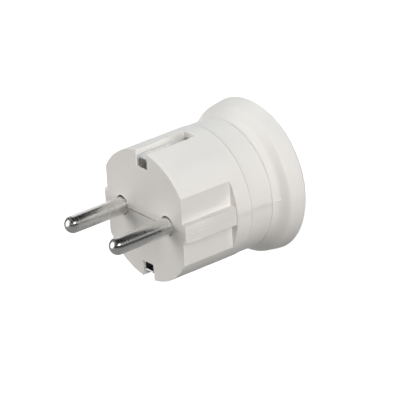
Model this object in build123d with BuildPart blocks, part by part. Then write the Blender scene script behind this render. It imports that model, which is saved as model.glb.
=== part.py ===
from build123d import *
import os

# An earthed two-pin mains plug that can be wired by hand. Two moulded half shells meet in the plane of
# the pins and close round the pins, the earth contacts, the terminals and the cord clamp.
# The plug stands on its rear rim: z runs up the pins, x from the left pin to the right one and y from the
# lower earth contact to the upper one. The halves part at y = 0. Sizes are in millimetres.

# Outer form of the body
body_length = 38.3
body_radius = 18.5
front_edge_chamfer = 0.25
contour_length = 16.5
flat_offset = 15.8
rib_width = 5.0
rib_front_reach = 17.45
rib_rear_reach = 18.0
rib_nose = 0.5
neck_radius = 18.3
neck_groove_width = 0.45
neck_groove_depth = 0.5
front_groove_gap = 5.0
rear_groove_gap = 1.15
flare_length = 3.3
flare_radius = 20.85
rim_radius = 21.5
rim_length = 5.2
rim_chamfer = 0.8

# Walls of the half shells
side_wall = 2.2
rear_wall = 2.4
front_wall = 3.0
end_wall = 1.6
channel_wall = 1.6
bulkhead = 2.4
partition = 1.2
cord_hole_radius = 4.3
cord_mouth_chamfer = 1.0
fit_clearance = 0.1

# Pins, turned from round bar with a collar and a terminal at the back
pin_spacing = 19.0
pin_radius = 2.4
pin_reach = 19.0
pin_relief_depth = 0.2
pin_relief_setback = 0.1
pin_hole_clearance = 0.05
pin_hole_rise = 0.4
collar_radius = 3.4
collar_length = 3.0
pin_neck_radius = 2.8
terminal_radius = 3.4
terminal_length = 9.0
terminal_flat = 2.7

# Wire holes, screws and wire guards of the three terminals
wire_hole_radius = 1.7
wire_hole_depth = 5.4
terminal_screw_setback = 3.6
terminal_screw_radius = 1.5
terminal_head_radius = 2.5
terminal_head_height = 1.8
terminal_screw_lift = 0.5
slot_width = 0.7
slot_depth = 0.9
guard_width = 2.0
guard_thickness = 0.4
guard_height = 0.7
guard_length = 5.2
guard_hook = 1.2

# Earth grooves, contact strips and terminal block
groove_width = 4.6
groove_floor = 13.8
strip_side_gap = 0.2
strip_thickness = 0.5
strip_reach = 16.9
strip_front_gap = 0.4
nose_drop = 0.3
nose_length = 1.9
ramp_length = 2.6
ramp_gap = 1.6
strip_bend = 0.6
slot_rise = 0.5
leg_overlap = 3.2
block_width = 6.0
block_height = 7.4
block_length = 6.0
spigot_radius = 1.2
post_width = 4.8
post_length = 3.6

# Cord clamp, its screws and what it stands on
clamp_gap = 0.6
clamp_width = 4.5
clamp_foot_height = 2.4
clamp_foot_drop = 0.5
clamp_arch_radius = 3.8
clamp_arch_wall = 2.2
clamp_span = 22.8
clamp_screw_spacing = 17.4
clamp_screw_radius = 1.5
clamp_screw_bite = 5.6
clamp_head_radius = 2.5
clamp_head_height = 1.8
clamp_boss_radius = 3.4
anvil_width = 2.0
anvil_drop = 1.5

# Housing screws, driven from the lower half into blind bosses of the upper half
housing_screw_radius = 1.5
housing_screw_seat = 9.0
housing_screw_bite = 6.0
housing_head_radius = 2.3
housing_head_height = 2.0
housing_head_clearance = 0.2
housing_boss_radius = 3.2
housing_boss_gap = 0.4
blind_end = 1.0

# Locating pegs on the lower half
peg_radius = 0.9
peg_length = 1.8
peg_setback = 9.0

# Heights and places that follow from the sizes above
shoulder_z = body_length - contour_length
front_groove_z = shoulder_z - front_groove_gap
flare_top_z = rim_length + flare_length
rear_groove_z = flare_top_z + rear_groove_gap
tip_z = body_length + pin_reach
relief_end_z = body_length - pin_relief_setback
front_wall_z = body_length - front_wall
bulkhead_front_z = front_wall_z - collar_length
bulkhead_rear_z = bulkhead_front_z - bulkhead
terminal_rear_z = bulkhead_rear_z - terminal_length
terminal_screw_z = terminal_rear_z + terminal_screw_setback
end_wall_z = shoulder_z - end_wall
nose_z = body_length - strip_front_gap
ramp_end_z = shoulder_z + ramp_gap
upper_leg_z = end_wall_z - strip_bend - strip_thickness
lower_leg_z = upper_leg_z - strip_thickness
block_rear_z = lower_leg_z - block_length
block_screw_z = block_rear_z + terminal_screw_setback
clamp_rear_z = rear_wall + clamp_gap
clamp_middle_z = clamp_rear_z + clamp_width / 2
clamp_foot_top = clamp_foot_height - clamp_foot_drop
peg_z = body_length - peg_setback
housing_screw_z = (front_groove_z + rear_groove_z) / 2
neck_groove_radius = neck_radius - neck_groove_depth
pin_relief_radius = pin_radius - pin_relief_depth
pin_hole_radius = pin_radius + pin_hole_clearance
cavity_radius = neck_radius - side_wall
chamber_half_width = flat_offset - side_wall
channel_half_width = groove_width / 2 + channel_wall
strip_width = groove_width - 2 * strip_side_gap
strip_seat = groove_floor + strip_thickness
flange_foot = groove_floor + fit_clearance
strip_slot_top = strip_reach + slot_rise
guard_top = guard_height + guard_thickness
housing_screw_spacing = block_width + 2 * (housing_boss_gap + housing_boss_radius)
clear_of_body = 2 * rim_radius
sides = (-1, 1)
pin_places = [(side * pin_spacing / 2, 0) for side in sides]
clamp_screw_places = [(side * clamp_screw_spacing / 2, clamp_middle_z) for side in sides]
housing_screw_places = [(side * housing_screw_spacing / 2, housing_screw_z) for side in sides]
peg_places = [(side * (chamber_half_width + rib_front_reach) / 2, peg_z) for side in sides]


def facing_up(x, y, z):
    """Plane at a point with its normal towards the upper half."""
    return Plane(origin=(x, y, z), x_dir=(1, 0, 0), z_dir=(0, 1, 0))


def facing_down(x, y, z):
    """Plane at a point with its normal towards the lower half."""
    return Plane(origin=(x, y, z), x_dir=(1, 0, 0), z_dir=(0, -1, 0))


# Outer form: a turned body with flats, guide ribs and earth grooves in front and a flared rim behind
with BuildPart() as body:
    with BuildSketch(Plane.XZ):
        with BuildLine():
            Polyline(
                (0, 0),
                (rim_radius - rim_chamfer, 0),
                (rim_radius, rim_chamfer),
                (flare_radius, rim_length),
                (neck_radius, flare_top_z),
                (neck_radius, rear_groove_z - neck_groove_width / 2),
                (neck_groove_radius, rear_groove_z),
                (neck_radius, rear_groove_z + neck_groove_width / 2),
                (neck_radius, front_groove_z - neck_groove_width / 2),
                (neck_groove_radius, front_groove_z),
                (body_radius, front_groove_z + neck_groove_width / 2),
                (body_radius, body_length),
                (0, body_length),
                close=True,
            )
        make_face()
    revolve(axis=Axis.Z)
    with BuildSketch(Plane.XY.offset(shoulder_z)):
        for side in sides:
            with Locations((side * (flat_offset + body_radius / 2), 0)):
                Rectangle(body_radius, clear_of_body)
    extrude(amount=contour_length, mode=Mode.SUBTRACT)
    front_face = body.faces().sort_by(Axis.Z)[-1]
    chamfer(front_face.outer_wire().edges(), front_edge_chamfer)
    with BuildSketch(Plane.XZ):
        with BuildLine():
            Polyline(
                (chamber_half_width, shoulder_z),
                (rib_rear_reach, shoulder_z),
                (rib_front_reach, body_length - rib_nose),
                (rib_front_reach - rib_nose, body_length),
                (chamber_half_width, body_length),
                close=True,
            )
        make_face()
        mirror(about=Plane.YZ)
    extrude(amount=rib_width / 2, both=True)
    with BuildSketch(Plane.XY.offset(shoulder_z)):
        for side in sides:
            with Locations((0, side * (groove_floor + body_radius / 2))):
                Rectangle(groove_width, body_radius)
    extrude(amount=contour_length, mode=Mode.SUBTRACT)

# Section of the chambers behind the front face: round, flat at the sides, narrowed by the groove channels
with BuildSketch() as chamber:
    Circle(cavity_radius)
    Rectangle(2 * chamber_half_width, clear_of_body, mode=Mode.INTERSECT)
    for side in sides:
        with Locations((0, side * (groove_floor - channel_wall + body_radius / 2))):
            Rectangle(2 * channel_half_width, body_radius, mode=Mode.SUBTRACT)

# The same section with upright partitions between the pin terminals and the earth
with BuildSketch() as parted_chamber:
    add(chamber.sketch)
    for side in sides:
        with Locations((side * (channel_half_width - partition / 2), 0)):
            Rectangle(partition, clear_of_body, mode=Mode.SUBTRACT)

# Hollow that both halves share: neck chamber, terminal chambers, collar chamber, pin holes, strip slots
# and the cord's inlet, with the bosses of the housing screws left standing
with BuildPart() as hollow:
    with BuildSketch(Plane.XZ):
        with BuildLine():
            Polyline(
                (0, rear_wall),
                (rim_radius - side_wall, rear_wall),
                (flare_radius - side_wall, rim_length),
                (cavity_radius, flare_top_z),
                (cavity_radius, end_wall_z),
                (0, end_wall_z),
                close=True,
            )
        make_face()
    revolve(axis=Axis.Z)
    with BuildSketch(Plane.XZ):
        with Locations(*housing_screw_places):
            Circle(housing_boss_radius)
    extrude(amount=clear_of_body, both=True, mode=Mode.SUBTRACT)
    with BuildSketch(Plane.XY.offset(end_wall_z)):
        add(parted_chamber.sketch)
    extrude(amount=bulkhead_rear_z - end_wall_z)
    with BuildSketch(Plane.XY.offset(bulkhead_front_z)):
        add(chamber.sketch)
    extrude(amount=collar_length)
    for bottom_z, top_z, radius in (
        (terminal_rear_z, bulkhead_rear_z, terminal_radius + fit_clearance),
        (bulkhead_rear_z, bulkhead_front_z, pin_neck_radius + fit_clearance),
        (bulkhead_front_z, front_wall_z, collar_radius + fit_clearance),
        (front_wall_z, body_length, pin_hole_radius),
    ):
        with BuildSketch(Plane.XY.offset(bottom_z)):
            with Locations(*pin_places):
                Circle(radius)
        extrude(amount=top_z - bottom_z)
    with BuildSketch(Plane.XY.offset(end_wall_z)):
        for side in sides:
            with Locations((0, side * (groove_floor + strip_slot_top) / 2)):
                Rectangle(strip_width + 2 * fit_clearance, strip_slot_top - groove_floor)
    extrude(amount=end_wall)
    with BuildSketch(Plane.XY):
        Circle(cord_hole_radius)
    extrude(amount=rear_wall)

# Hollow of the lower half, with the clamp's bosses and anvil and the post under the earth terminal
with BuildPart() as lower_hollow:
    add(hollow.part)
    with BuildSketch(Plane.XZ.offset(clamp_foot_drop)):
        with Locations(*clamp_screw_places):
            Circle(clamp_boss_radius)
    extrude(amount=clear_of_body, mode=Mode.SUBTRACT)
    with BuildSketch(Plane.XY.offset(clamp_middle_z - anvil_width / 2)):
        with Locations((0, -anvil_drop)):
            Rectangle(clamp_screw_spacing, clear_of_body, align=(Align.CENTER, Align.MAX))
        Circle(cord_hole_radius, mode=Mode.SUBTRACT)
    extrude(amount=anvil_width, mode=Mode.SUBTRACT)
    with BuildSketch(Plane.XZ.offset(block_height / 2)):
        with Locations((0, block_rear_z + block_length / 2)):
            Rectangle(post_width, post_length)
    extrude(amount=clear_of_body, mode=Mode.SUBTRACT)

# Upper half shell, with blind holes for the housing screws and sockets for the pegs. The pins lie in the
# lower half, so the upper half's pin holes are a little higher and clear them at the top
with BuildPart() as upper_shell:
    add(body.part)
    add(hollow.part, mode=Mode.SUBTRACT)
    split(bisect_by=Plane.ZX, keep=Keep.TOP)
    with BuildSketch(Plane.XY.offset(front_wall_z)):
        with Locations(*[(x, pin_hole_rise / 2) for x, y in pin_places]):
            SlotCenterToCenter(pin_hole_rise, 2 * pin_hole_radius, rotation=90)
    extrude(amount=front_wall, mode=Mode.SUBTRACT)
    with BuildSketch(Plane.XZ):
        with Locations(*housing_screw_places):
            Circle(housing_screw_radius + fit_clearance)
    extrude(amount=-housing_screw_bite - blind_end, mode=Mode.SUBTRACT)
    with BuildSketch(Plane.XZ):
        with Locations(*peg_places):
            Circle(peg_radius + fit_clearance)
    extrude(amount=-peg_length - fit_clearance, mode=Mode.SUBTRACT)
    rear_rings = upper_shell.faces().sort_by(Axis.Z)[0].edges().filter_by(GeomType.CIRCLE)
    chamfer(rear_rings.sort_by(SortBy.RADIUS)[0], cord_mouth_chamfer)

# Lower half shell, with counterbored holes for the housing screws, clamp screw holes and pegs
with BuildPart() as lower_shell:
    add(body.part)
    add(lower_hollow.part, mode=Mode.SUBTRACT)
    split(bisect_by=Plane.ZX, keep=Keep.BOTTOM)
    with BuildSketch(Plane.XZ):
        with Locations(*housing_screw_places):
            Circle(housing_screw_radius + fit_clearance)
    extrude(amount=housing_screw_seat, mode=Mode.SUBTRACT)
    with BuildSketch(Plane.XZ.offset(housing_screw_seat)):
        with Locations(*housing_screw_places):
            Circle(housing_head_radius + housing_head_clearance)
    extrude(amount=clear_of_body, mode=Mode.SUBTRACT)
    with BuildSketch(Plane.XZ.offset(clamp_foot_drop)):
        with Locations(*clamp_screw_places):
            Circle(clamp_screw_radius + fit_clearance)
    extrude(amount=clamp_screw_bite + blind_end, mode=Mode.SUBTRACT)
    with BuildSketch(Plane.XZ):
        with Locations(*peg_places):
            Circle(peg_radius)
    extrude(amount=-peg_length)
    rear_rings = lower_shell.faces().sort_by(Axis.Z)[0].edges().filter_by(GeomType.CIRCLE)
    chamfer(rear_rings.sort_by(SortBy.RADIUS)[0], cord_mouth_chamfer)


def turned_pin(axis_x):
    """Round-ended pin, relieved in the front wall, with a collar behind it, a neck and a screw terminal."""
    with BuildPart() as pin:
        with BuildSketch(facing_down(axis_x, 0, 0)):
            with BuildLine():
                Polyline(
                    (0, tip_z),
                    (0, terminal_rear_z),
                    (terminal_radius, terminal_rear_z),
                    (terminal_radius, bulkhead_rear_z),
                    (pin_neck_radius, bulkhead_rear_z),
                    (pin_neck_radius, bulkhead_front_z),
                    (collar_radius, bulkhead_front_z),
                    (collar_radius, front_wall_z),
                    (pin_relief_radius, front_wall_z),
                    (pin_relief_radius, relief_end_z),
                    (pin_radius, relief_end_z),
                    (pin_radius, tip_z - pin_radius),
                )
                CenterArc((0, tip_z - pin_radius), pin_radius, 0, 90)
            make_face()
        revolve(axis=Axis((axis_x, 0, 0), (0, 0, 1)))
        with BuildSketch(facing_up(axis_x, terminal_flat, terminal_rear_z + terminal_length / 2)):
            Rectangle(2 * terminal_radius, terminal_length)
        extrude(amount=terminal_radius, mode=Mode.SUBTRACT)
        with BuildSketch(Plane.XY.offset(terminal_rear_z)):
            with Locations((axis_x, 0)):
                Circle(wire_hole_radius)
        extrude(amount=wire_hole_depth, mode=Mode.SUBTRACT)
        with BuildSketch(facing_up(axis_x, 0, terminal_screw_z)):
            Circle(terminal_screw_radius + fit_clearance)
        extrude(amount=terminal_radius, mode=Mode.SUBTRACT)
    return pin.part


def wire_guard(axis_x, rear_z):
    """Springy leaf under a terminal screw, hooked over the rear face of its terminal."""
    with BuildPart() as guard:
        with BuildSketch(Plane.YZ.offset(axis_x)):
            with BuildLine():
                Polyline(
                    (guard_height, rear_z - guard_thickness),
                    (guard_top + guard_hook, rear_z - guard_thickness),
                    (guard_top + guard_hook, rear_z),
                    (guard_top, rear_z),
                    (guard_top, rear_z + guard_length),
                    (guard_height, rear_z + guard_length),
                    close=True,
                )
            make_face()
        extrude(amount=guard_width / 2, both=True)
    return guard.part


def slotted_screws(seats, shank_radius, shank_length, head_radius, head_height):
    """Cheese-head screws with straight slots. Each seat is a plane under a head, facing out of it."""
    with BuildPart() as screws:
        with BuildSketch(*seats):
            Circle(shank_radius)
        extrude(amount=-shank_length)
        with BuildSketch(*seats):
            Circle(head_radius)
        extrude(amount=head_height)
        with BuildSketch(*[seat.offset(head_height) for seat in seats]):
            Rectangle(2 * head_radius, slot_width)
        extrude(amount=-slot_depth, mode=Mode.SUBTRACT)
    return screws.part


def earth_contact(leg_z):
    """Bent strip of the upper groove: a channel with an eased nose, a ramp to the slot and a leg inside."""
    mid_sheet = strip_reach - strip_thickness / 2
    run_start_z = ramp_end_z + ramp_length
    run_end_z = nose_z - nose_length
    with BuildPart() as contact:
        with BuildSketch(Plane.YZ):
            with BuildLine():
                FilletPolyline(
                    (strip_reach - nose_drop, nose_z),
                    (strip_reach, run_end_z),
                    (strip_reach, run_start_z),
                    (strip_seat, ramp_end_z),
                    (strip_seat, leg_z),
                    (-leg_overlap, leg_z),
                    radius=strip_bend + strip_thickness,
                )
                offset(amount=strip_thickness, side=Side.RIGHT)
            make_face()
        extrude(amount=strip_width / 2, both=True)
        with BuildSketch(*[Plane.YZ.offset(side * (strip_width - strip_thickness) / 2) for side in sides]):
            with BuildLine():
                Polyline(
                    (flange_foot, run_start_z),
                    (mid_sheet, run_start_z),
                    (mid_sheet, run_end_z),
                    (mid_sheet - nose_drop, nose_z),
                    (flange_foot, nose_z),
                    close=True,
                )
            make_face()
        extrude(amount=strip_thickness / 2, both=True)
    return contact.part


# Lower contact: the strip turned over, with its leg behind the other and a hole for the terminal's spigot
with BuildPart() as lower_earth_contact:
    add(mirror(earth_contact(lower_leg_z), about=Plane.XZ, mode=Mode.PRIVATE))
    with BuildSketch(Plane.XY.offset(lower_leg_z)):
        Circle(spigot_radius + fit_clearance)
    extrude(amount=strip_thickness, mode=Mode.SUBTRACT)

# Earth terminal: a brass block peened to the lower contact's leg by its spigot
with BuildPart() as earth_terminal:
    with BuildSketch(Plane.XY.offset(block_rear_z)):
        Rectangle(block_width, block_height)
    extrude(amount=block_length)
    with BuildSketch(Plane.XY.offset(lower_leg_z)):
        Circle(spigot_radius)
    extrude(amount=strip_thickness)
    with BuildSketch(Plane.XY.offset(block_rear_z)):
        Circle(wire_hole_radius)
    extrude(amount=wire_hole_depth, mode=Mode.SUBTRACT)
    with BuildSketch(facing_up(0, 0, block_screw_z)):
        Circle(terminal_screw_radius + fit_clearance)
    extrude(amount=block_height, mode=Mode.SUBTRACT)

# Cord clamp: an arched saddle on two feet, screwed down over the cord
with BuildPart() as cord_clamp:
    with BuildSketch(Plane.XY.offset(clamp_rear_z)):
        with Locations((0, -clamp_foot_drop)):
            Rectangle(clamp_span, clamp_foot_height, align=(Align.CENTER, Align.MIN))
        Circle(clamp_arch_radius + clamp_arch_wall)
        Circle(clamp_arch_radius, mode=Mode.SUBTRACT)
        with Locations((0, -clamp_foot_drop)):
            Rectangle(clamp_span, clear_of_body, align=(Align.CENTER, Align.MIN), mode=Mode.INTERSECT)
    extrude(amount=clamp_width)
    with BuildSketch(Plane.XZ):
        with Locations(*clamp_screw_places):
            Circle(clamp_screw_radius + fit_clearance)
    extrude(amount=clear_of_body, both=True, mode=Mode.SUBTRACT)

# Screws, each group standing on its own seats
pin_screw_lift = terminal_flat + terminal_screw_lift
pin_screw_seats = [facing_up(x, pin_screw_lift, terminal_screw_z) for x, y in pin_places]
earth_screw_seats = [facing_up(0, block_height / 2 + terminal_screw_lift, block_screw_z)]
clamp_screw_seats = [facing_up(x, clamp_foot_top, z) for x, z in clamp_screw_places]
housing_screw_seats = [facing_down(x, -housing_screw_seat, z) for x, z in housing_screw_places]

pieces = {
    "upper_shell": upper_shell.part,
    "lower_shell": lower_shell.part,
    "left_pin": turned_pin(-pin_spacing / 2),
    "right_pin": turned_pin(pin_spacing / 2),
    "left_wire_guard": wire_guard(-pin_spacing / 2, terminal_rear_z),
    "right_wire_guard": wire_guard(pin_spacing / 2, terminal_rear_z),
    "earth_wire_guard": wire_guard(0, block_rear_z),
    "pin_terminal_screws": slotted_screws(
        pin_screw_seats,
        terminal_screw_radius,
        pin_screw_lift - guard_top,
        terminal_head_radius,
        terminal_head_height,
    ),
    "earth_terminal_screw": slotted_screws(
        earth_screw_seats,
        terminal_screw_radius,
        block_height / 2 + terminal_screw_lift - guard_top,
        terminal_head_radius,
        terminal_head_height,
    ),
    "upper_earth_contact": earth_contact(upper_leg_z),
    "lower_earth_contact": lower_earth_contact.part,
    "earth_terminal": earth_terminal.part,
    "cord_clamp": cord_clamp.part,
    "cord_clamp_screws": slotted_screws(
        clamp_screw_seats,
        clamp_screw_radius,
        clamp_foot_height + clamp_screw_bite,
        clamp_head_radius,
        clamp_head_height,
    ),
    "housing_screws": slotted_screws(
        housing_screw_seats,
        housing_screw_radius,
        housing_screw_seat + housing_screw_bite,
        housing_head_radius,
        housing_head_height,
    ),
}

os.makedirs("parts", exist_ok=True)
for name, piece in pieces.items():
    piece.label = name
    export_step(piece, f"parts/{name}.step")
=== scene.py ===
import math

import bmesh
import bpy
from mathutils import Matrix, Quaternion, Vector


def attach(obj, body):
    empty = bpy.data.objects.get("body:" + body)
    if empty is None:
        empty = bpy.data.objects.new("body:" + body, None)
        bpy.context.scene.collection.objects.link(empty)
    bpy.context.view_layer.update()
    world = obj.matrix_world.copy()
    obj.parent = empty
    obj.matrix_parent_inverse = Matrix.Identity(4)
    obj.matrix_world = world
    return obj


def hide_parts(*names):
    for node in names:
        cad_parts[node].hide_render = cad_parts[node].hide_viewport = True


# The plug stands on its rear rim, with its pins upwards along z, its right side towards x and its upper
# half towards y. The frame is in metres, and the sizes below are in millimetres times mm.
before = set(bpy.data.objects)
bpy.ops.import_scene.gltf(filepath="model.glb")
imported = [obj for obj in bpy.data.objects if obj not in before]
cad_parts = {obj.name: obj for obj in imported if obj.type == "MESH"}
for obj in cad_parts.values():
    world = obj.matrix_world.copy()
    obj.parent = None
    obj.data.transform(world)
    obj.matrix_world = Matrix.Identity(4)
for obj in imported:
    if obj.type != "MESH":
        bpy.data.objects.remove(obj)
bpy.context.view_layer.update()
mm = 0.001

# Camera: a long lens a metre from the plug, on the side of its pins and its right flat. It is rolled so
# that the upper half of the standing plug is uppermost in the picture.
lens_length = 340.6
camera_distance = 1008.7 * mm
camera_azimuth = math.radians(120.35)
camera_elevation = math.radians(34.02)
camera_roll = math.radians(-111.59)
aim_point = Vector((0.78, -1.33, 20.13)) * mm
towards_camera = Vector(
    (
        math.sin(camera_azimuth) * math.cos(camera_elevation),
        -math.cos(camera_azimuth) * math.cos(camera_elevation),
        math.sin(camera_elevation),
    )
)
bpy.ops.object.camera_add(location=aim_point + camera_distance * towards_camera)
camera = bpy.context.object
camera.name = "camera"
camera.rotation_mode = "QUATERNION"
level_view = (-towards_camera).to_track_quat("-Z", "Y")
camera.rotation_quaternion = level_view @ Quaternion((0, 0, 1), camera_roll)
camera.data.sensor_width = 36.0
camera.data.lens = lens_length
bpy.context.scene.camera = camera

# Half shells: two mouldings of white thermoplastic that close round the pins in the plane y = 0. The tool
# leaves most edges a little round, and sweeps the neck softly into the flared rim. Screws draw the halves
# tight at the neck, but they gape a little at the front face, where the pin holes aren't quite true.
shell_edge_round = 0.12 * mm
edge_round_segments = 2
neck_radius = 18.3 * mm
flare_top = 8.5 * mm
flare_root = 7.7 * mm
flare_root_round = 1.1 * mm
flare_root_segments = 6
flare_radius = 20.85 * mm
flare_foot = 5.2 * mm
flare_edge_round = 0.6 * mm
flare_edge_segments = 3
front_face = 38.3 * mm
front_chamfer = 0.25 * mm
front_chamfer_kept = 0.03 * mm
neck_seam_gap = 0.02 * mm
front_seam_gap = 0.25 * mm
front_seam_depth = 0.2 * mm
groove_floor = 13.8 * mm
groove_half_width = 2.3 * mm
groove_lip = 0.35 * mm
groove_recess = 1.2 * mm
strip_slot_height = 17.4 * mm
strip_slot_closing = 1.0 * mm
pin_offset = 9.5 * mm
pin_hole_reach = 3.2 * mm
pin_hole_drop = 0.28 * mm
pin_hole_shift = 0.15 * mm
front_wall = 3.0 * mm
neck_groove_heights = (9.65 * mm, 16.8 * mm)
neck_groove_reach = 0.3 * mm
same_place = 0.02 * mm
weld_distance = 0.001 * mm
facet_flatness = math.radians(0.3)
sharp_edge = math.radians(25)
smooth_below = math.radians(40)


def linear(hex_colour):
    """Linear red, green, blue and alpha of an sRGB colour written as hex."""
    channels = [int(hex_colour[i : i + 2], 16) / 255 for i in (1, 3, 5)]
    return [c / 12.92 if c <= 0.04045 else ((c + 0.055) / 1.055) ** 2.4 for c in channels] + [1.0]


def add_node(tree, kind, settings, links):
    """Adds a node with its settings, links outputs of earlier nodes to its inputs, and returns it."""
    node = tree.nodes.new(kind)
    for key, value in settings.items():
        if isinstance(key, int) or key in node.inputs:
            node.inputs[key].default_value = value
        else:
            setattr(node, key, value)
    for key, output in links.items():
        tree.links.new(output, node.inputs[key])
    return node


def select_by_place(piece, wanted):
    """Selects the vertices of a piece in edit mode that pass a test of their place, and what they join."""
    bpy.ops.mesh.select_mode(type="VERT")
    bpy.ops.mesh.select_all(action="DESELECT")
    mesh = bmesh.from_edit_mesh(piece.data)
    for vertex in mesh.verts:
        vertex.select_set(wanted(vertex.co))
    mesh.select_flush_mode()
    bpy.ops.mesh.select_mode(type="EDGE")


def round_sharp_edges(piece, edge_round, stays_sharp):
    """Rounds the sharp edges of a piece in edit mode, apart from those in a place that stays sharp."""
    bpy.ops.mesh.select_mode(type="EDGE")
    bpy.ops.mesh.select_all(action="DESELECT")
    bpy.ops.mesh.edges_select_sharp(sharpness=sharp_edge)
    mesh = bmesh.from_edit_mesh(piece.data)
    for edge in mesh.edges:
        if edge.select and all(stays_sharp(vertex.co) for vertex in edge.verts):
            edge.select_set(False)
    bpy.ops.mesh.bevel(offset=edge_round, segments=edge_round_segments, affect="EDGES", clamp_overlap=False)


def start_piece(node, name):
    """A copy of a node's mesh in edit mode, with its triangles merged into whole faces."""
    piece = bpy.data.objects.new(name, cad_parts[node].data.copy())
    bpy.context.collection.objects.link(piece)
    bpy.ops.object.select_all(action="DESELECT")
    piece.select_set(True)
    bpy.context.view_layer.objects.active = piece
    bpy.ops.mesh.customdata_custom_splitnormals_clear()
    bpy.ops.object.mode_set(mode="EDIT")
    bpy.ops.mesh.select_all(action="SELECT")
    bpy.ops.mesh.remove_doubles(threshold=weld_distance)
    bpy.ops.mesh.dissolve_limited(angle_limit=facet_flatness)
    return piece


def finish_piece(piece, node, material):
    """Clears a piece of slivers, smooths its rounded edges, and gives it its finish and its node's place."""
    bpy.ops.mesh.select_all(action="SELECT")
    bpy.ops.mesh.dissolve_degenerate(threshold=weld_distance)
    bpy.ops.object.mode_set(mode="OBJECT")
    bpy.ops.object.shade_smooth_by_angle(angle=smooth_below)
    bpy.ops.object.modifier_add(type="WEIGHTED_NORMAL")
    piece.modifiers[-1].keep_sharp = True
    bpy.ops.object.modifier_apply(modifier=piece.modifiers[-1].name)
    piece.data.materials.clear()
    piece.data.materials.append(material)
    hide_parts(node)
    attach(piece, "root")


def on_flare(place):
    along = (place.z - flare_foot) / (flare_top - flare_foot)
    straight_radius = flare_radius + along * (neck_radius - flare_radius)
    between_ends = flare_foot - same_place < place.z < flare_top + same_place
    return between_ends and abs(place.xy.length - straight_radius) < same_place


def at_flare_root(place):
    return abs(place.z - flare_root) < same_place and abs(place.xy.length - neck_radius) < same_place


def at_flare_edge(place):
    return abs(place.z - flare_foot) < same_place and abs(place.xy.length - flare_radius) < same_place


def at_front_chamfer(place):
    return abs(place.z - front_face + front_chamfer) < same_place


def at_seam(place):
    return abs(place.y) < weld_distance


def at_front_seam(place):
    return at_seam(place) and place.z > front_face - front_seam_depth


def near_pin(place):
    pin_axis = Vector((math.copysign(pin_offset, place.x), 0))
    return (place.xy - pin_axis).length < pin_hole_reach


def in_pin_hole(place):
    return near_pin(place) and place.z > front_face - front_wall - same_place


def on_groove_floor(place):
    return abs(abs(place.y) - groove_floor) < same_place and abs(place.x) < groove_half_width + same_place


def at_strip_slot(place):
    return abs(abs(place.y) - strip_slot_height) < same_place and abs(place.x) < groove_half_width


def in_hole_or_groove(place):
    return near_pin(place) or min(abs(place.z - height) for height in neck_groove_heights) < neck_groove_reach


def in_hole_or_groove_or_seam(place):
    return in_hole_or_groove(place) or at_seam(place)


def nowhere(place):
    return False


# Polycarbonate blend from a finely eroded tool: a soft sheen, with a faint grain and a slight unevenness
# of flow. The grain is drawn coarser than the real 0.05 mm so that it shows.
grain_size = 0.3 * mm
flow_size = 7.0 * mm
shell_plastic = bpy.data.materials.new("moulded_white_polycarbonate")
shell_plastic.use_nodes = True
tree = shell_plastic.node_tree
shader = tree.nodes["Principled BSDF"]
shader.inputs["IOR"].default_value = 1.5
place = add_node(tree, "ShaderNodeTexCoord", {}, {}).outputs["Object"]
flow = add_node(tree, "ShaderNodeTexNoise", {"Scale": 1 / flow_size, "Detail": 3.0}, {"Vector": place})
tint = add_node(
    tree,
    "ShaderNodeMix",
    {"data_type": "RGBA", 6: linear("#F0ECE7"), 7: linear("#EBE7E1")},
    {0: flow.outputs["Fac"]},
)
sheen = add_node(
    tree,
    "ShaderNodeMapRange",
    {"To Min": 0.34, "To Max": 0.42},
    {"Value": flow.outputs["Fac"]},
)
grain = add_node(tree, "ShaderNodeTexNoise", {"Scale": 1 / grain_size, "Detail": 2.0}, {"Vector": place})
relief = add_node(
    tree,
    "ShaderNodeBump",
    {"Strength": 0.5, "Distance": 0.01 * mm},
    {"Height": grain.outputs["Fac"]},
)
tree.links.new(tint.outputs[2], shader.inputs["Base Color"])
tree.links.new(sheen.outputs["Result"], shader.inputs["Roughness"])
tree.links.new(relief.outputs["Normal"], shader.inputs["Normal"])

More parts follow.
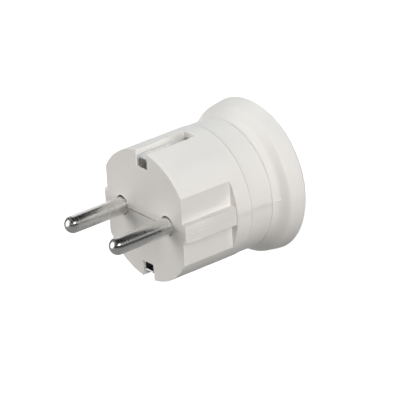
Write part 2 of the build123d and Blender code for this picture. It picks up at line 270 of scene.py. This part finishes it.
for half, stays_sharp in (("upper", in_hole_or_groove_or_seam), ("lower", in_hole_or_groove)):
    shell = start_piece(f"{half}_shell", f"{half}_half_shell")
    towards_middle = -1 if half == "upper" else 1

    # The cone is drawn in towards its foot, so that the sweep at its root has room.
    select_by_place(shell, on_flare)
    bpy.ops.transform.resize(
        value=(1, 1, (flare_root - flare_foot) / (flare_top - flare_foot)),
        center_override=(0, 0, flare_foot),
    )
    select_by_place(shell, at_flare_root)
    bpy.ops.mesh.bevel(
        offset=flare_root_round, segments=flare_root_segments, affect="EDGES", clamp_overlap=False
    )
    select_by_place(shell, at_flare_edge)
    bpy.ops.mesh.bevel(
        offset=flare_edge_round, segments=flare_edge_segments, affect="EDGES", clamp_overlap=False
    )

    # The front edge is all but sharp.
    select_by_place(shell, at_front_chamfer)
    bpy.ops.transform.translate(value=(0, 0, front_chamfer - front_chamfer_kept))

    # The earth strip lies over a recess in the groove's floor, and fits its slot in the end wall closely.
    select_by_place(shell, on_groove_floor)
    bpy.ops.mesh.inset(thickness=groove_lip)
    bpy.ops.mesh.extrude_region_move(
        TRANSFORM_OT_translate={"value": (0, towards_middle * groove_recess, 0)}
    )
    select_by_place(shell, at_strip_slot)
    bpy.ops.transform.translate(value=(0, towards_middle * strip_slot_closing, 0))

    # The pin holes sit a little to the left, and in the lower half a little low as well.
    select_by_place(shell, in_pin_hole)
    bpy.ops.transform.translate(value=(-pin_hole_shift, 0 if half == "upper" else -pin_hole_drop, 0))

    # The lower half leaves the seam open, wider at the front face than at the neck.
    if half == "lower":
        select_by_place(shell, at_front_seam)
        bpy.ops.transform.translate(value=(0, -front_seam_gap, 0))
    round_sharp_edges(shell, shell_edge_round, stays_sharp)
    if half == "lower":
        select_by_place(shell, at_seam)
        bpy.ops.transform.translate(value=(0, -neck_seam_gap, 0))
    finish_piece(shell, f"{half}_shell", shell_plastic)

# Pins: brass turned from bar, with a bright nickel plating. The turning marks run round the pin, duller
# than the polish between them, and stretch reflections along it. Sockets have left faint streaks lengthways.
pin_edge_round = 0.03 * mm
streak_width = 0.35 * mm
streak_length = 9.0 * mm
turning_width = 0.04 * mm
turning_length = 6.0 * mm
nickel = bpy.data.materials.new("nickel_plated_turned_brass")
nickel.use_nodes = True
tree = nickel.node_tree
shader = tree.nodes["Principled BSDF"]
shader.inputs["Metallic"].default_value = 1.0
shader.inputs["Anisotropic"].default_value = 0.8
shader.inputs["Anisotropic Rotation"].default_value = 0.25
place = add_node(tree, "ShaderNodeTexCoord", {}, {}).outputs["Object"]
drawn_out = add_node(
    tree,
    "ShaderNodeMapping",
    {"Scale": (1 / streak_width, 1 / streak_width, 1 / streak_length)},
    {"Vector": place},
)
streaks = add_node(
    tree,
    "ShaderNodeTexNoise",
    {"Scale": 1.0, "Detail": 4.0},
    {"Vector": drawn_out.outputs["Vector"]},
)
tint = add_node(
    tree,
    "ShaderNodeMix",
    {"data_type": "RGBA", 6: linear("#F0F0EF"), 7: linear("#E2E2E0")},
    {0: streaks.outputs["Fac"]},
)
turned = add_node(
    tree,
    "ShaderNodeMapping",
    {"Scale": (1 / turning_length, 1 / turning_length, 1 / turning_width)},
    {"Vector": place},
)
marks = add_node(
    tree,
    "ShaderNodeTexNoise",
    {"Scale": 1.0, "Detail": 2.0},
    {"Vector": turned.outputs["Vector"]},
)
polish = add_node(
    tree,
    "ShaderNodeMapRange",
    {"From Min": 0.45, "From Max": 0.65, "To Min": 0.15, "To Max": 0.4},
    {"Value": marks.outputs["Fac"]},
)
round_pin = add_node(tree, "ShaderNodeTangent", {"direction_type": "RADIAL", "axis": "Z"}, {})
tree.links.new(tint.outputs[2], shader.inputs["Base Color"])
tree.links.new(polish.outputs["Result"], shader.inputs["Roughness"])
tree.links.new(round_pin.outputs["Tangent"], shader.inputs["Tangent"])

for side in ("left", "right"):
    pin = start_piece(f"{side}_pin", f"{side}_contact_pin")
    round_sharp_edges(pin, pin_edge_round, nowhere)
    finish_piece(pin, f"{side}_pin", nickel)

# Earth contacts: strips of rolled brass, nickel plated and bent to shape, clipped in the end walls of the
# grooves. The rolling leaves a fine grain along the strip.
strip_edge_round = 0.08 * mm
rolled_width = 0.2 * mm
rolled_length = 5.0 * mm
strip_metal = bpy.data.materials.new("nickel_plated_rolled_brass")
strip_metal.use_nodes = True
tree = strip_metal.node_tree
shader = tree.nodes["Principled BSDF"]
shader.inputs["Metallic"].default_value = 1.0
place = add_node(tree, "ShaderNodeTexCoord", {}, {}).outputs["Object"]
rolled = add_node(
    tree,
    "ShaderNodeMapping",
    {"Scale": (1 / rolled_width, 1 / rolled_length, 1 / rolled_length)},
    {"Vector": place},
)
grain = add_node(
    tree,
    "ShaderNodeTexNoise",
    {"Scale": 1.0, "Detail": 3.0},
    {"Vector": rolled.outputs["Vector"]},
)
tint = add_node(
    tree,
    "ShaderNodeMix",
    {"data_type": "RGBA", 6: linear("#F3F4F5"), 7: linear("#E6E8EA")},
    {0: grain.outputs["Fac"]},
)
polish = add_node(
    tree,
    "ShaderNodeMapRange",
    {"To Min": 0.2, "To Max": 0.32},
    {"Value": grain.outputs["Fac"]},
)
tree.links.new(tint.outputs[2], shader.inputs["Base Color"])
tree.links.new(polish.outputs["Result"], shader.inputs["Roughness"])

for half in ("upper", "lower"):
    strip = start_piece(f"{half}_earth_contact", f"{half}_earth_strip")
    round_sharp_edges(strip, strip_edge_round, nowhere)
    finish_piece(strip, f"{half}_earth_contact", strip_metal)

# Earth terminal: a block sawn from brass bar, drilled for the wire and tapped for its screw. It joins the
# two earth contacts inside the shells. Sawing leaves fine lines across the brass.
block_edge_round = 0.1 * mm
saw_line = 0.25 * mm
saw_length = 4.0 * mm
brass = bpy.data.materials.new("plain_machined_brass")
brass.use_nodes = True
tree = brass.node_tree
shader = tree.nodes["Principled BSDF"]
shader.inputs["Metallic"].default_value = 1.0
place = add_node(tree, "ShaderNodeTexCoord", {}, {}).outputs["Object"]
sawn = add_node(
    tree,
    "ShaderNodeMapping",
    {"Scale": (1 / saw_length, 1 / saw_length, 1 / saw_line)},
    {"Vector": place},
)
lines = add_node(
    tree,
    "ShaderNodeTexNoise",
    {"Scale": 1.0, "Detail": 3.0},
    {"Vector": sawn.outputs["Vector"]},
)
tint = add_node(
    tree,
    "ShaderNodeMix",
    {"data_type": "RGBA", 6: linear("#D9B56C"), 7: linear("#C79F55")},
    {0: lines.outputs["Fac"]},
)
polish = add_node(
    tree,
    "ShaderNodeMapRange",
    {"To Min": 0.3, "To Max": 0.42},
    {"Value": lines.outputs["Fac"]},
)
tree.links.new(tint.outputs[2], shader.inputs["Base Color"])
tree.links.new(polish.outputs["Result"], shader.inputs["Roughness"])

block = start_piece("earth_terminal", "earth_terminal_block")
round_sharp_edges(block, block_edge_round, nowhere)
finish_piece(block, "earth_terminal", brass)

# Wire guards: small plates of the same brass, blanked from sheet. One lies under each terminal screw and
# keeps it from cutting the strands of the wire.
guard_edge_round = 0.05 * mm
for terminal in ("left", "right", "earth"):
    guard = start_piece(f"{terminal}_wire_guard", f"{terminal}_terminal_guard")
    round_sharp_edges(guard, guard_edge_round, nowhere)
    finish_piece(guard, f"{terminal}_wire_guard", brass)

# Cord clamp: a saddle moulded of natural polyamide, which two screws draw down on the cord's sheath. The
# tool's dull finish leaves a fine grain, drawn coarser than the real 0.1 mm so that it shows.
clamp_edge_round = 0.15 * mm
clamp_grain_size = 0.4 * mm
clamp_flow_size = 5.0 * mm
polyamide = bpy.data.materials.new("moulded_natural_polyamide")
polyamide.use_nodes = True
tree = polyamide.node_tree
shader = tree.nodes["Principled BSDF"]
shader.inputs["IOR"].default_value = 1.53
place = add_node(tree, "ShaderNodeTexCoord", {}, {}).outputs["Object"]
flow = add_node(
    tree,
    "ShaderNodeTexNoise",
    {"Scale": 1 / clamp_flow_size, "Detail": 3.0},
    {"Vector": place},
)
tint = add_node(
    tree,
    "ShaderNodeMix",
    {"data_type": "RGBA", 6: linear("#DAD6CC"), 7: linear("#D0CBBF")},
    {0: flow.outputs["Fac"]},
)
sheen = add_node(
    tree,
    "ShaderNodeMapRange",
    {"To Min": 0.46, "To Max": 0.58},
    {"Value": flow.outputs["Fac"]},
)
grain = add_node(
    tree,
    "ShaderNodeTexNoise",
    {"Scale": 1 / clamp_grain_size, "Detail": 2.0},
    {"Vector": place},
)
relief = add_node(
    tree,
    "ShaderNodeBump",
    {"Strength": 0.5, "Distance": 0.02 * mm},
    {"Height": grain.outputs["Fac"]},
)
tree.links.new(tint.outputs[2], shader.inputs["Base Color"])
tree.links.new(sheen.outputs["Result"], shader.inputs["Roughness"])
tree.links.new(relief.outputs["Normal"], shader.inputs["Normal"])

clamp = start_piece("cord_clamp", "cord_clamp_saddle")
round_sharp_edges(clamp, clamp_edge_round, nowhere)
finish_piece(clamp, "cord_clamp", polyamide)

# Screws: cold-headed steel with a thin bluish zinc plating, a little cloudy. Those of the pin and earth
# terminals press on the wire guards, two hold the cord clamp, and two draw the half shells together.
screw_edge_round = 0.06 * mm
cloud_size = 0.8 * mm
zinc = bpy.data.materials.new("zinc_plated_steel")
zinc.use_nodes = True
tree = zinc.node_tree
shader = tree.nodes["Principled BSDF"]
shader.inputs["Metallic"].default_value = 1.0
place = add_node(tree, "ShaderNodeTexCoord", {}, {}).outputs["Object"]
clouds = add_node(tree, "ShaderNodeTexNoise", {"Scale": 1 / cloud_size, "Detail": 4.0}, {"Vector": place})
tint = add_node(
    tree,
    "ShaderNodeMix",
    {"data_type": "RGBA", 6: linear("#C3C7CC"), 7: linear("#AEB3BA")},
    {0: clouds.outputs["Fac"]},
)
polish = add_node(
    tree,
    "ShaderNodeMapRange",
    {"To Min": 0.26, "To Max": 0.44},
    {"Value": clouds.outputs["Fac"]},
)
tree.links.new(tint.outputs[2], shader.inputs["Base Color"])
tree.links.new(polish.outputs["Result"], shader.inputs["Roughness"])

for group in ("pin_terminal_screws", "earth_terminal_screw", "cord_clamp_screws", "housing_screws"):
    screws = start_piece(group, f"zinc_{group}")
    round_sharp_edges(screws, screw_edge_round, nowhere)
    finish_piece(screws, group, zinc)

# Floor: a wide sheet of pale paper just under the rim, bright enough to look white. It isn't mirrored in
# the metal and throws no light on the plastic, which the soft boxes do instead.
floor_width = 6.0
floor_drop = 0.05 * mm
bpy.ops.mesh.primitive_plane_add(size=floor_width, location=(0, 0, -floor_drop))
floor = bpy.context.object
floor.name = "pale_floor"
floor.visible_diffuse = False
floor.visible_glossy = False
paper = bpy.data.materials.new("pale_paper")
paper.use_nodes = True
shader = paper.node_tree.nodes["Principled BSDF"]
shader.inputs["Base Color"].default_value = linear("#F4F4F2")
shader.inputs["Roughness"].default_value = 0.9
shader.inputs["Emission Color"].default_value = linear("#FFFFFF")
shader.inputs["Emission Strength"].default_value = 0.8
floor.data.materials.append(paper)

# Soft boxes: round white lights 1.2 m from the plug, each given by its direction, width in metres, power
# in watts and colour. The glint box shows in bright metal alone. The bounce box stands for what the earth
# strips throw on the walls of their grooves: it is seen only by way of metal from a point on plastic.
soft_boxes = {
    "front_box": ((-0.5, 0.26, 0.82), 0.9, 7.6, "#FFFFFF"),
    "back_box": ((-0.4, 0.85, -0.25), 0.9, 37.0, "#F4FAFF"),
    "upper_right_box": ((0.7, 0.75, 0.2), 0.9, 4.6, "#F8FCFF"),
    "right_box": ((1.0, 0.15, 0.12), 0.9, 11.5, "#FFFFFF"),
    "far_box": ((-0.8, -0.5, 0.15), 0.9, 4.9, "#FFFFFF"),
    "lower_box": ((-0.866, -0.5, 0.06), 0.3, 6.0, "#FFFFFF"),
    "glint_box": ((0.77, 0.6, 0.2), 0.5, 2.4, "#FFFFFF"),
    "bounce_box": ((0.7, 0.75, 0.0), 0.9, 24.0, "#FFFFFF"),
}
mirrored_boxes = ("glint_box", "bounce_box")
box_distance = 1.2
for name, (direction, size, power, colour) in soft_boxes.items():
    away = Vector(direction).normalized()
    bpy.ops.object.light_add(type="AREA", location=aim_point + box_distance * away)
    soft_box = bpy.context.object
    soft_box.name = name
    soft_box.rotation_mode = "QUATERNION"
    soft_box.rotation_quaternion = (-away).to_track_quat("-Z", "Y")
    soft_box.data.shape = "DISK"
    soft_box.data.size = size
    soft_box.data.energy = power
    soft_box.data.color = linear(colour)[:3]
    soft_box.visible_glossy = name in mirrored_boxes
    soft_box.visible_diffuse = name not in mirrored_boxes
    if name == "bounce_box":
        soft_box.data.use_nodes = True
        tree = soft_box.data.node_tree
        ray = add_node(tree, "ShaderNodeLightPath", {}, {})
        tree.links.new(ray.outputs["Diffuse Depth"], tree.nodes["Emission"].inputs["Strength"])

# Room: faint even light on the plastic. Bright metal mirrors what stands round the plug: behind it pale and
# dark cards in turn, each given by its bearing from x towards y in degrees and its brightness, and before
# it the pale table under the lower half, the dark room above that and a white pane in the room.
room_light = 0.02
cards = (
    (-180, 0.95),
    (-150, 0.7),
    (-120, 0.36),
    (-70, 0.31),
    (-20, 0.27),
    (-5, 0.12),
    (5, 0.03),
    (14, 0.05),
    (24, 0.34),
    (36, 0.3),
    (50, 0.05),
    (66, 0.02),
    (106, 0.02),
    (120, 0.25),
    (136, 0.95),
    (180, 0.95),
)
table_brightness = 0.27
dark_brightness = 0.03
table_edge = (-0.12, 0.02)
card_edge = (-0.4, -0.1)
pane_direction = (-0.5, 0.26, 0.82)
pane_reach = 32
pane_blur = 8
pane_brightness = 1.6
world = bpy.data.worlds.new("studio")
world.use_nodes = True
tree = world.node_tree
even_light = tree.nodes["Background"]
even_light.inputs["Color"].default_value = linear("#FFFFFF")
even_light.inputs["Strength"].default_value = room_light
direction = add_node(tree, "ShaderNodeTexCoord", {}, {}).outputs["Generated"]
parts = add_node(tree, "ShaderNodeSeparateXYZ", {}, {"Vector": direction}).outputs
bearing = add_node(tree, "ShaderNodeMath", {"operation": "ARCTAN2"}, {0: parts["Y"], 1: parts["X"]})
turn = add_node(
    tree,
    "ShaderNodeMapRange",
    {"From Min": -math.pi, "From Max": math.pi},
    {"Value": bearing.outputs["Value"]},
)
ring = add_node(tree, "ShaderNodeValToRGB", {}, {"Fac": turn.outputs["Result"]})
stops = ring.color_ramp.elements
for (degrees, brightness), stop in zip((cards[0], cards[-1]), stops):
    stop.color = (brightness, brightness, brightness, 1)
for degrees, brightness in cards[1:-1]:
    stops.new((degrees + 180) / 360).color = (brightness, brightness, brightness, 1)
table_or_room = add_node(
    tree,
    "ShaderNodeMapRange",
    {
        "From Min": table_edge[0],
        "From Max": table_edge[1],
        "To Min": table_brightness,
        "To Max": dark_brightness,
    },
    {"Value": parts["Y"]},
)
facing_pane = add_node(
    tree,
    "ShaderNodeVectorMath",
    {"operation": "DOT_PRODUCT", 1: Vector(pane_direction).normalized()},
    {0: direction},
)
pane = add_node(
    tree,
    "ShaderNodeMapRange",
    {
        "From Min": math.cos(math.radians(pane_reach + pane_blur / 2)),
        "From Max": math.cos(math.radians(pane_reach - pane_blur / 2)),
        "To Max": pane_brightness,
    },
    {"Value": facing_pane.outputs["Value"]},
)
before = add_node(
    tree,
    "ShaderNodeMath",
    {"operation": "MAXIMUM"},
    {0: table_or_room.outputs["Result"], 1: pane.outputs["Result"]},
)
height = add_node(
    tree,
    "ShaderNodeMapRange",
    {"From Min": card_edge[0], "From Max": card_edge[1]},
    {"Value": parts["Z"]},
)
mirrored = add_node(
    tree,
    "ShaderNodeMix",
    {"data_type": "RGBA"},
    {0: height.outputs["Result"], 6: ring.outputs["Color"], 7: before.outputs["Value"]},
)
mirrored_light = add_node(tree, "ShaderNodeBackground", {}, {"Color": mirrored.outputs[2]})
ray = add_node(tree, "ShaderNodeLightPath", {}, {})
room = add_node(
    tree,
    "ShaderNodeMixShader",
    {},
    {0: ray.outputs["Is Glossy Ray"], 1: even_light.outputs[0], 2: mirrored_light.outputs[0]},
)
tree.links.new(room.outputs[0], tree.nodes["World Output"].inputs["Surface"])
bpy.context.scene.world = world
bpy.context.scene.view_settings.view_transform = "Standard"
